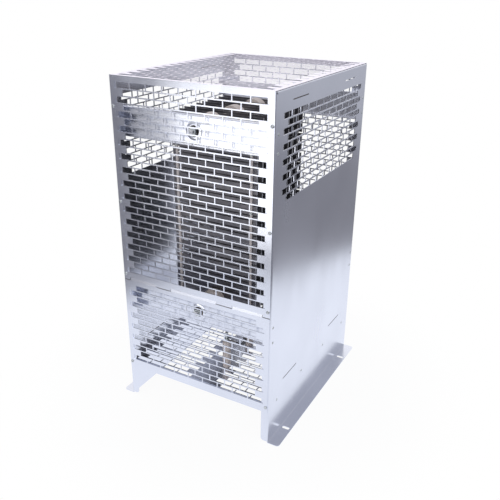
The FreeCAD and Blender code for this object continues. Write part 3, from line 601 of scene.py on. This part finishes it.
@dataclass
class Casing:
    """The folded and punched sheets of the cage, with the rivets that hold them."""

    shop: Workshop
    bricks: BrickPattern = field(default_factory=BrickPattern)
    panel_half: float = 0.2095
    back_plane: float = 0.2635
    sheet: float = 0.0015
    lid_sheet: float = 0.0008
    lid_top: float = 0.866
    lid_lip_half: float = 0.189
    lid_lip: float = 0.012
    deck_first: float = 0.246
    deck_rows: int = 31
    rear_low: float = 0.093
    rear_first: float = 0.845
    rear_rows: int = 45
    floor_half: float = 0.210
    floor_end: float = 0.255
    floor_top: float = 0.112
    floor_lip: float = 0.017
    cable_hole: Span = (-0.008, -0.119)
    cable_radius: float = 0.01125
    collar_half: float = 0.014625
    wall: float = 0.212
    rail_rivet_y: float = 0.2505
    rail_levels: Span = (0.758, 0.306)
    rail_rivet_step: float = 0.020
    floor_rivet_level: float = 0.104
    long_row: tuple[float, ...] = (-0.219, -0.073, 0.073, 0.219)
    lid_rivet_x: float = 0.2015
    hair: float = 0.0001
    cover_top: float = 0.355
    seam: float = 0.363
    joggle_runs: Pairs = ((-0.190, -0.1105), (-0.0655, 0.0655), (0.1105, 0.190))
    tongue_runs: Pairs = (
        (-0.2095, -0.1915), (-0.1095, -0.0665), (0.0665, 0.1095), (0.1915, 0.2095))
    tongue_end: float = 0.357
    shadow_setback: float = 0.0003
    shadow_lift: float = 0.0005
    slot_places: Span = (-0.148, 0.148)
    slot_levels: Span = (0.839, 0.148)
    slot_half: float = 0.039
    slot_height: float = 0.0025
    open_slot: tuple[int, float, float] = (1, 0.148, 0.839)
    shade_plate_setback: float = 0.0006
    shade_plate_sheet: float = 0.001
    rivet_profile: Pairs = (
        (0.0036, 0.0), (0.0035, 0.0003), (0.0029, 0.0006), (0.0020, 0.0008),
        (0.0013, 0.0008), (0.0011, 0.0004), (0.0004, 0.0004))
    flush_profile: Pairs = (
        (0.0024, -0.0004), (0.0024, -0.0001), (0.0020, 0.0), (0.0012, -0.0002), (0.0004, -0.0002))

    def build_lid(self) -> None:
        """The lid with every brick hole, and its two lips turned down."""
        deck = self.lid_top - self.lid_sheet
        shells = [punched((-self.panel_half, self.panel_half, -self.back_plane, self.back_plane),
                          self.bricks.rows(self.deck_first, self.deck_rows), deck, self.lid_top)]
        for side in SIDES:
            near, far = between(side, self.back_plane, self.back_plane - self.sheet)
            shells.append(bar((-self.lid_lip_half, near, deck - self.lid_lip),
                              (self.lid_lip_half, far, deck)))
        # The lid takes a paler copy of the sheet steel: painted light.
        self.shop.piece("lid_sheet", shells, Look.LID_PAINTED_LIGHT, Slot.SHEET, replaced=["top_grille"])

    def build_rear(self) -> None:
        """The rear panel with every brick hole."""
        plate = punched((-self.panel_half, self.panel_half, self.rear_low, self.lid_top),
                        self.bricks.rows(self.rear_first, self.rear_rows),
                        -self.back_plane - self.sheet, -self.back_plane)
        self.shop.piece("rear_sheet", [plate.upright()], Look.SHEET, Slot.SHEET,
                        replaced=["rear_grille"])

    def build_floor(self) -> None:
        """The floor tray: brick holes on both sides of a solid strip, and a round cable hole."""
        pitch = self.bricks.pitch
        holes = self.bricks.rows(self.deck_first, self.deck_rows, (0.0, pitch),
                                 (-pitch / 2, pitch / 2))
        x, y = self.cable_hole
        half, end, collar = self.floor_half, self.floor_end, self.collar_half
        window = (x - collar, x + collar, y - collar, y + collar)
        deck, low = self.floor_top - self.sheet, self.floor_top - self.floor_lip
        shells = [punched((-half, half, -end, end), np.vstack([holes, window]), deck,
                          self.floor_top), self.collar(deck)]
        for side in SIDES:
            near, far = between(side, half, half - self.sheet)
            shells.append(bar((near, -end, low), (far, end, deck)))
            near, far = between(side, end, end - self.sheet)
            shells.append(bar((self.sheet - half, near, low), (half - self.sheet, far, deck)))
        self.shop.piece("floor_sheet", shells, Look.SHEET, Slot.SHEET, replaced=["floor_grille"])

    def collar(self, deck: float) -> Shell:
        """The square of floor round the cable hole: its outer edge a square, its inner a circle."""
        angles = 64
        turn = np.linspace(0, 2 * np.pi, angles, endpoint=False)
        square = self.collar_half / np.maximum(abs(np.cos(turn)), abs(np.sin(turn)))
        circle = np.full(angles, self.cable_radius)
        return turned(np.stack([square, square, circle, circle], 1),
                      np.array([deck, self.floor_top, self.floor_top, deck]),
                      (*self.cable_hole, 0.0), UP, ring=True)

    def build_joggle(self) -> None:
        """The cover's top edge, bent back between the tongues of the grille above it.

        Its section is a wedge: upright at the back, and sloping back from the cover's face to the
        grille's lower edge. The shadow in the gap under each tongue is painted: a dark piece, a
        wedge too, so that the cover's hook clears it when it tilts.
        """
        front, back = -self.back_plane - self.sheet, -self.back_plane - self.hair
        step = 2 * self.hair
        top = self.seam - step
        section = ((front + self.hair, self.cover_top), (back, self.cover_top), (back, top),
                   (back - step, top))
        self.shop.piece("cover_joggle", [prism(*run, section) for run in self.joggle_runs],
                        Look.SHEET, Slot.SHEET, Body.COVER)
        # Painted shadow: a dark wedge fills the gap under each tongue.
        face, top = front + self.shadow_setback, self.tongue_end - self.hair
        section = ((face, self.cover_top + self.shadow_lift), (back, top - step), (back, top),
                   (face, top))
        self.shop.piece("tongue_painted_shadows", [prism(*run, section) for run in self.tongue_runs],
                        Look.DARK_MICA_AND_SHADE, Slot.BUSH)

    def build_slot_shade(self) -> None:
        """Dark plates set back in the long slots of both walls: painted shade, so that the slots
        read dark.

        The right wall's upper rear slot is open, as in the photo.
        """
        half, reach, shells = self.slot_height / 2, self.slot_half, []
        for side in SIDES:
            near, far = between(side, self.wall - self.shade_plate_setback - self.shade_plate_sheet,
                                self.wall - self.shade_plate_setback)
            shells += [bar((near, y - reach, z - half), (far, y + reach, z + half))
                       for y in self.slot_places for z in self.slot_levels
                       if (side, y, z) != self.open_slot]
        # Painted shade: the dark plates make the slots read dark.
        self.shop.piece("wall_slot_painted_shade", shells, Look.DARK_MICA_AND_SHADE, Slot.BUSH)

    def build_rivets(self) -> None:
        """Blind rivets with a dimple on the walls' outer faces, and flush ones in the lid."""
        levels = [level + way * self.rail_rivet_step for level in self.rail_levels for way in SIDES]
        spots = [(side * self.rail_rivet_y, level) for side in SIDES for level in levels]
        spots += [(y, self.floor_rivet_level) for y in self.long_row]
        shells = [lathe(self.rivet_profile, 20, (side * self.wall, *spot), (side, 0, 0))
                  for side in SIDES for spot in spots]
        self.shop.piece("wall_rivets", shells, Look.FASTENER, Slot.FASTENER)
        shells = [lathe(self.flush_profile, 18, (side * self.lid_rivet_x, y, self.lid_top), UP)
                  for side in SIDES for y in self.long_row]
        self.shop.piece("lid_rivets", shells, Look.FASTENER, Slot.FASTENER)

    def build(self) -> None:
        """Make and dress the whole casing."""
        self.shop.dress(Look.SHEET, "side_wall_left", "side_wall_right", "front_grille",
                        "terminal_cover", "lower_rail_front")
        # Painted light: the upper front rail and the rear rails take paler copies of the sheet
        # steel.
        self.shop.dress(Look.RAIL_PAINTED_LIGHT, "upper_rail_front")
        self.shop.dress(Look.PALE_RAIL_PAINTED_LIGHT, "upper_rail_rear", "lower_rail_rear")
        self.build_lid()
        self.build_rear()
        self.build_floor()
        self.build_joggle()
        self.build_slot_shade()
        self.build_rivets()


@dataclass
class PanelScrews:
    """Button-head screws with hexagon sockets, along the edges of the panels."""

    shop: Workshop
    place_x: float = 0.2045
    front: float = -0.265
    levels: tuple[float, ...] = (0.796, 0.566, 0.372)
    cover_level: float = 0.107
    head_radius: float = 0.0042
    head_height: float = 0.0024
    brim: float = 0.0005
    rim_radius: float = 0.00186
    socket_across: float = 0.003
    socket_depth: float = 0.0019

    def screw(self, place: Point, axis: Point) -> Shell:
        """A domed head with a round rim, inside which a hexagon goes down."""
        angles = 48
        turn = np.linspace(0, np.pi / 2, 7)[:-1]
        dome = self.rim_radius + (self.head_radius - self.rim_radius) * np.cos(turn)
        rise = self.brim + (self.head_height - self.brim) * np.sin(turn)
        rims = np.tile([self.head_radius, *dome, self.rim_radius], (angles, 1))
        socket = hexagon(self.socket_across, angles)[:, None]
        heights = [0.0, *rise, self.head_height, self.head_height,
                   self.head_height - self.socket_depth]
        return turned(np.hstack([rims, socket, socket]), np.array(heights), place, axis)

    def build(self) -> None:
        """Heads of all panel screws; those of the cover move with it."""
        for name, way, levels, body, replaced in (
                ("front_screw_heads", -1, self.levels, Body.CAGE, "front_grille_screws"),
                ("cover_screw_heads", -1, (self.cover_level,), Body.COVER, "cover_screws"),
                ("rear_screw_heads", 1, (*self.levels, self.cover_level), Body.CAGE,
                 "rear_grille_screws")):
            shells = [self.screw((side * self.place_x, -way * self.front, z), (0, way, 0))
                      for side in SIDES for z in levels]
            self.shop.piece(name, shells, Look.SCREW, Slot.FASTENER, body, [replaced])


@dataclass
class ResistorBank:
    """Meander grids on two insulated rods, with their ceramics, bushes, nuts and edge bars."""

    shop: Workshop
    grids: int = 10
    first: float = -0.162
    step: float = 0.0265
    sheet: float = 0.001
    half: float = 0.116
    low: float = 0.290
    high: float = 0.780
    land: float = 0.046
    slit: float = 0.003
    slit_pitch: float = 0.0127
    over_cut: float = 0.001
    bridge: float = 0.014
    levels: Span = (0.758, 0.306)
    eye: float = 0.006
    rod_radius: float = 0.005
    rod_play: float = 0.0003
    rod_end: float = 0.254
    thread_length: float = 0.024
    thread_pitch: float = 0.0015
    thread_depth: float = 0.0006
    nut_across: float = 0.017
    nut_height: float = 0.008
    nut_ease: float = 0.0012
    nut_face: float = 0.00833
    nut_bore: float = 0.0052
    washer_radius: float = 0.010
    washer_height: float = 0.002
    washer_ease: float = 0.0003
    rail_face: float = 0.241
    disc_radius: float = 0.030
    bead_radius: float = 0.017
    ring_rim: float = 0.002
    disc_every: int = 4
    edge_bar_x: float = 0.103
    tie_levels: tuple[float, ...] = (0.700, 0.560, 0.420)
    tie_radius: float = 0.0015
    tie_reach: float = 0.003
    tie_cap: Pairs = ((0.0034, 0.0), (0.0034, 0.0018), (0.0028, 0.0024), (0.0016, 0.0024))
    fold_depth: float = 0.0035
    bush_cap: Pairs = (
        (0.0134, 0.0), (0.0210, 0.0), (0.0210, 0.0006), (0.0207, 0.0008), (0.0134, 0.0008))

    def grid_mesh(self) -> Shell:
        """One grid: slits from the left and the right edge in turn leave one long strip.

        Between the slits both upright edges are folded back, which stiffens the strip.
        """
        count = int((self.high - self.low - 2 * self.land) / self.slit_pitch + 1e-6) + 1
        middle = (self.low + self.high) / 2
        levels = middle + (np.arange(count) - (count - 1) / 2) * self.slit_pitch
        rims = np.stack([levels - self.slit / 2, levels + self.slit / 2], 1)
        from_left = np.arange(count) % 2 == 0
        left = np.where(from_left, -self.half - self.over_cut, -self.half + self.bridge)
        right = np.where(from_left, self.half - self.bridge, self.half + self.over_cut)
        eyes = [(-self.eye, self.eye, z - self.eye, z + self.eye) for z in self.levels]
        shells = [punched((-self.half, self.half, self.low, self.high),
                          np.vstack([np.column_stack([left, right, rims]), eyes]), 0.0, self.sheet)]
        for side, slits in ((-1, rims[from_left]), (1, rims[~from_left])):
            near, far = between(side, self.half, self.half - self.sheet)
            runs = np.array([self.low, *slits.ravel(), self.high]).reshape(-1, 2)
            shells += [bar((near, low, -self.fold_depth), (far, high, 0.0)) for low, high in runs]
        return joined(shells).upright()

    def build_grids(self) -> None:
        """Every grid in its place, standing for the plainer one of the frame."""
        pattern = self.grid_mesh()
        for index in range(self.grids):
            back = self.first + self.step * index + self.sheet
            name = "grid_%02d" % (index + 1)
            # The grids' edges are lighter: sheared metal and partly painted highlight.
            self.shop.piece("fine_" + name, [pattern.moved((0, back, 0))], Look.ELEMENT,
                            Slot.ELEMENT, replaced=[name], edges=Look.CUT_EDGE_AND_HIGHLIGHT)

    def ceramic(self, start: float, length: float, radius: float, level: float) -> Shell:
        """A pressed ceramic ring with rounded rims."""
        bore, rim = self.rod_radius + self.rod_play, min(self.ring_rim, radius / 6)
        turn = np.linspace(0, np.pi / 2, 5)
        near = [(radius - rim + rim * math.sin(a), rim - rim * math.cos(a)) for a in turn]
        far = [(r, length - h) for r, h in reversed(near)]
        return lathe([(bore, 0.0), *near, *far, (bore, length)], 48, (0, start, level), (0, 1, 0),
                     ring=True)

    def build_ceramics(self) -> None:
        """A large disc before the first grid and in every fourth gap, small beads in the others."""
        gap = self.step - self.sheet
        for label, level in zip(("upper", "lower"), self.levels):
            rings = {"discs": [self.ceramic(self.first - gap, gap, self.disc_radius, level)],
                     "beads": []}
            for index in range(self.grids - 1):
                large = index % self.disc_every == self.disc_every - 1
                start = self.first + self.step * index + self.sheet
                rings["discs" if large else "beads"].append(self.ceramic(
                    start, gap, self.disc_radius if large else self.bead_radius, level))
            for kind, shells in rings.items():
                self.shop.piece("%s_ceramic_%s" % (label, kind), shells, Look.CERAMIC,
                                Slot.CERAMIC, replaced=["%s_%s" % (label, kind)])

    def rod(self, level: float) -> Shell:
        """A rod whose ends carry a thread: r = radius - depth * triangle(height / pitch - turn)."""
        angles, per_pitch = 20, 6
        count = int(self.thread_length / self.thread_pitch * per_pitch)
        ends = np.linspace(0, self.thread_length, count)
        heights = np.concatenate([ends, 2 * self.rod_end - ends[::-1]])
        turn = np.linspace(0, 1, angles, endpoint=False)[:, None]
        phase = (heights[None, :] / self.thread_pitch - turn) % 1
        depth = np.full(len(heights), self.thread_depth)
        depth[[0, -1]] /= 2
        radii = self.rod_radius - depth * np.abs(2 * phase - 1)
        return turned(radii, heights, (0, -self.rod_end, level), (0, 1, 0))

    def nut(self, place: Point, axis: Point) -> Shell:
        """A hexagon nut: r = min(hexagon, cone), so the corners are rounded off at both faces."""
        angles, ease, top = 72, self.nut_ease, self.nut_height
        heights = np.array([0.0, 0.0, ease, top - ease, top, top])
        cone = np.array([0.0, self.nut_face, np.inf, np.inf, self.nut_face, 0.0])
        radii = np.minimum(hexagon(self.nut_across, angles)[:, None], cone)
        radii[:, [0, -1]] = self.nut_bore
        return turned(radii, heights, place, axis, ring=True)

    def washer(self, place: Point, axis: Point) -> Shell:
        """A flat washer with a broken outer edge."""
        outer, top, ease = self.washer_radius, self.washer_height, self.washer_ease
        bore = self.rod_radius + self.rod_play
        profile = [(bore, 0.0), (outer, 0.0), (outer, top - ease), (outer - ease, top), (bore, top)]
        return lathe(profile, 48, place, axis, ring=True)

    def build_rods(self) -> None:
        """Threaded rods with their nuts and washers."""
        nuts, washers = [], []
        for label, level in zip(("upper", "lower"), self.levels):
            self.shop.piece(label + "_threaded_rod", [self.rod(level)], Look.ROD, Slot.FASTENER,
                            replaced=[label + "_rod"], smooth=60.0)
            for side in SIDES:
                seat = self.rail_face + self.washer_height
                washers.append(self.washer((0, side * self.rail_face, level), (0, side, 0)))
                nuts.append(self.nut((0, side * seat, level), (0, side, 0)))
        self.shop.piece("rod_hex_nuts", nuts, Look.FASTENER, Slot.FASTENER, replaced=["rod_nuts"])
        self.shop.piece("rod_flat_washers", washers, Look.BLACKENED, Slot.FASTENER,
                        replaced=["rod_washers"])

    def build_bushes(self) -> None:
        """Dark bushes in the rails' holes, each held by a thin sheet ring on the rail's face."""
        self.shop.dress(Look.DARK_MICA_AND_SHADE, "rod_bushes")
        shells = [lathe(self.bush_cap, 56, (0, side * self.rail_face, level), (0, side, 0),
                        ring=True) for level in self.levels for side in SIDES]
        # The rings take the rail's paler copy of the sheet: painted light.
        self.shop.piece("bush_rings", shells, Look.RAIL_PAINTED_LIGHT, Slot.SHEET)

    def build_ties(self) -> None:
        """Thin rods through open slits that hold the edge bars to the stack, with round nuts."""
        front, reach = self.first - self.tie_reach, self.tie_reach
        back = self.first + self.step * (self.grids - 1) + self.sheet + reach
        profile = [(self.tie_radius, 0.0), (self.tie_radius, back - front + 2 * reach)]
        shells = []
        for x in (-self.edge_bar_x, self.edge_bar_x):
            for level in self.tie_levels:
                shells.append(lathe(profile, 12, (x, front - reach, level), (0, 1, 0)))
                shells += [lathe(self.tie_cap, 16, (x, start, level), (0, way, 0))
                           for start, way in ((front, -1), (back, 1))]
        self.shop.piece("edge_bar_ties", shells, Look.FASTENER, Slot.FASTENER)

    def build(self) -> None:
        """Make and dress the whole bank."""
        self.build_grids()
        self.build_ceramics()
        self.build_rods()
        self.build_bushes()
        self.build_ties()
        self.shop.dress(Look.MICA, "edge_bars")
        self.shop.dress(Look.ROD, "spacer_tubes")
        self.shop.dress(Look.ELEMENT, "upper_jumpers", "lower_jumpers", "end_tabs")


@dataclass
class TerminalCompartment:
    """Ceramic posts, studs, lugs and sleeved leads behind the cover."""

    shop: Workshop
    posts: Pairs = ((0.034, -0.163), (0.034, -0.040))
    floor: float = 0.112
    height: float = 0.078
    radius: float = 0.011
    bore: float = 0.0041
    ease: float = 0.0012
    groove_levels: Span = (0.0234, 0.04836)
    groove_depth: float = 0.0008
    groove_width: float = 0.0036

    def post(self, place: Point) -> Shell:
        """A ceramic post: a round column with eased rims and two shallow sloping grooves."""
        bore, outer, top, ease = self.bore, self.radius, self.height, self.ease
        depth, wide = self.groove_depth, self.groove_width
        grooves = [(r, low + h) for low in self.groove_levels for r, h in (
            (outer, 0.0), (outer - depth, depth), (outer - depth, wide - depth), (outer, wide))]
        profile = [(bore, 0.0), (outer - ease, 0.0), (outer, ease), *grooves,
                   (outer, top - ease), (outer - ease, top), (bore, top)]
        return lathe(profile, 40, (*place, self.floor), UP, ring=True)

    def build(self) -> None:
        """Make the posts and dress what stands on them."""
        for label, place in zip(("front", "rear"), self.posts):
            self.shop.piece(label + "_ceramic_post", [self.post(place)], Look.CERAMIC, Slot.CERAMIC,
                            replaced=[label + "_post"])
        self.shop.dress(Look.FASTENER, "terminal_studs", "terminal_nuts", "post_screws")
        self.shop.dress(Look.TIN, "lead_lugs")
        self.shop.dress(Look.SLEEVE, "front_lead", "rear_lead")


@dataclass
class Lamp:
    """A rectangular soft light aimed at a point."""

    name: str
    place: Point
    aim: Point
    width: float
    height: float
    power: float
    colour: Colour = WHITE

    def build(self) -> None:
        """Hang the lamp."""
        light = bpy.data.lights.new(self.name, "AREA")
        light.shape = "RECTANGLE"
        light.size = self.width
        light.size_y = self.height
        light.energy = self.power
        light.color = self.colour
        lamp = bpy.data.objects.new(self.name, light)
        lamp.visible_camera = False
        lamp.location = self.place
        way = Vector(self.aim) - Vector(self.place)
        lamp.rotation_euler = way.to_track_quat("-Z", "Y").to_euler()
        bpy.context.scene.collection.objects.link(lamp)


@dataclass
class RoomSide:
    """A round stretch of the room with its own tone, soft between two angles, in degrees."""

    way: Point
    inner: float
    outer: float
    colour: Colour


@dataclass
class PaperEdge:
    """A soft straight edge of the white paper, which lies where across * x + back * y > reach."""

    across: float
    back: float
    reach: float
    soft: float


@dataclass
class Studio:
    """A table with a white paper, a pale room with a ceiling and a backdrop, lamps and camera."""

    floor_half: float = 9.0
    paper_edges: tuple[PaperEdge, ...] = (
        PaperEdge(-1.0, -0.41, -0.875, 0.05),
        PaperEdge(1.0, 0.41, -0.90, 0.10),
        PaperEdge(-0.38, 0.92, -0.95, 0.05),
    )
    # Tones of the table's glow, seen by glossy rays only: painted reflection.
    paper: Colour = (0.98, 1.01, 1.09)
    beyond: Colour = (0.26, 0.26, 0.29)
    far: Colour = (0.50, 0.51, 0.56)
    far_span: Span = (2.3, 4.5)
    dim: Colour = (0.20, 0.20, 0.23)
    dim_span: Span = (-0.8, 0.4)
    shadow_depth: float = 0.06
    shadow_span: Span = (0.35, 0.70)
    shadow_tone: Colour = (0.9, 0.9, 0.9)
    table_tone: Colour = (0.86, 0.86, 0.88)
    camera_place: Point = (0.7630, -1.3720, 1.0685)
    yaw: float = 0.5012
    pitch: float = 0.4122
    roll: float = 0.0114
    focal_pixels: float = 623.3
    frame_pixels: int = 500
    sensor: float = 36.0
    clip_end: float = 50.0
    room: Colour = (0.56, 0.57, 0.62)
    sides: tuple[RoomSide, ...] = (
        RoomSide((0.0, 0.0, 1.0), 20.0, 60.0, (0.50, 0.50, 0.54)),
        RoomSide((-0.55, 1.0, 0.12), 34.0, 50.0, (1.05, 1.05, 1.08)),
    )
    lamps: tuple[Lamp, ...] = (
        Lamp("key_light", (1.4, -2.6, 2.3), (0.0, 0.0, 0.5), 1.6, 1.6, 26.0),
        Lamp("top_light", (-0.2, 0.2, 2.6), (0.0, 0.0, 0.6), 3.4, 3.4, 17.0, (0.97, 0.97, 1.0)),
        Lamp("low_softbox", (-0.50, -1.4, 0.36), (-0.50, 0.0, 0.36), 0.76, 0.72, 2.75),
    )

    def build_camera(self) -> None:
        """Place the camera: forward turned left by yaw and down by pitch, then rolled."""
        right = np.array([math.cos(self.yaw), math.sin(self.yaw), 0.0])
        forward = np.array([-math.sin(self.yaw) * math.cos(self.pitch),
                            math.cos(self.yaw) * math.cos(self.pitch), -math.sin(self.pitch)])
        up = np.cross(right, forward)
        across = math.cos(self.roll) * right + math.sin(self.roll) * up
        upward = -math.sin(self.roll) * right + math.cos(self.roll) * up
        data = bpy.data.cameras.new("camera")
        data.sensor_width = self.sensor
        data.lens = self.focal_pixels / self.frame_pixels * self.sensor
        data.clip_end = self.clip_end
        camera = bpy.data.objects.new("camera", data)
        turn = Matrix([across, upward, -forward]).transposed().to_4x4()
        camera.matrix_world = Matrix.Translation(self.camera_place) @ turn
        bpy.context.scene.collection.objects.link(camera)
        bpy.context.scene.camera = camera

    def build_floor(self) -> None:
        """A pale table top: white to the camera with a soft shadow near the object.

        To the metal it glows, with no lamp behind it, as a white paper on a greyer table that fades
        into the room far away and is dimmer at the front left: a painted reflection, seen by glossy
        rays only.
        """
        mesh = bpy.data.meshes.new("table_top")
        mesh.from_pydata([(x * self.floor_half, y * self.floor_half, 0)
                          for x, y in ((-1, -1), (1, -1), (1, 1), (-1, 1))], [], [(0, 1, 2, 3)])
        graph = Graph(bpy.data.materials.new("pale_table"))
        graph.settle("Principled BSDF", Base_Color=self.table_tone, Roughness=0.9,
                     Specular_IOR_Level=0.1)
        reach = graph.measured("LENGTH")
        on_paper = functools.reduce(functools.partial(graph.combined, "MULTIPLY"), [
            graph.eased(graph.measured("DOT_PRODUCT", (edge.across, edge.back, 0.0)),
                        edge.reach - edge.soft, edge.reach + edge.soft)
            for edge in self.paper_edges
        ])
        table = graph.blended(graph.eased(reach, *self.far_span), self.beyond, self.far)
        front_left = graph.measured("DOT_PRODUCT", (1.0, 1.0, 0.0))
        table = graph.blended(graph.eased(front_left, *self.dim_span), self.dim, table)
        # Painted reflection: the table glows with these tones to glossy rays.
        reflected_glow = graph.add("Emission", graph.blended(on_paper, table, self.paper))
        path = graph.add("LightPath").outputs
        shadow = graph.eased(reach, *self.shadow_span, self.shadow_depth, 0.0)
        shown = graph.chosen(shadow, graph.add("Emission", WHITE),
                             graph.add("BsdfDiffuse", self.shadow_tone))
        real = graph.chosen(path["Is Glossy Ray"], graph.tree.nodes["Principled BSDF"], reflected_glow)
        surface = graph.chosen(path["Is Camera Ray"], real, shown)
        graph.settle("Material Output", Surface=surface.outputs[0])
        mesh.materials.append(graph.owner)
        table_top = bpy.data.objects.new("table_top", mesh)
        bpy.context.scene.collection.objects.link(table_top)

    def build_world(self) -> None:
        """White to the camera; a pale room with brighter and darker sides to everything else."""
        world = bpy.data.worlds.new("pale_room")
        bpy.context.scene.world = world
        graph = Graph(world, "Generated")
        tone: Colour | Socket = self.room
        for side in self.sides:
            dot = graph.measured("DOT_PRODUCT", Vector(side.way).normalized())
            share = graph.eased(dot, math.cos(math.radians(side.outer)),
                                math.cos(math.radians(side.inner)))
            tone = graph.blended(share, tone, side.colour)
        graph.settle("Background", Color=tone)
        choice = graph.chosen(graph.add("LightPath").outputs["Is Camera Ray"],
                              graph.tree.nodes["Background"], graph.add("Background", WHITE))
        graph.settle("World Output", Surface=choice.outputs[0])

    def build(self) -> None:
        """Set the table, the room, the lamps and the camera."""
        bpy.context.scene.view_settings.view_transform = "Standard"
        self.build_floor()
        self.build_world()
        for lamp in self.lamps:
            lamp.build()
        self.build_camera()


def main() -> None:
    """Load the solids and build every sub-assembly in order."""
    logging.basicConfig(level=logging.INFO, format="%(message)s")
    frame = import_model()
    shop = Workshop(frame)
    for assembly in (Casing, PanelScrews, ResistorBank, TerminalCompartment):
        assembly(shop).build()
    Studio().build()


if __name__ == "__main__":
    main()
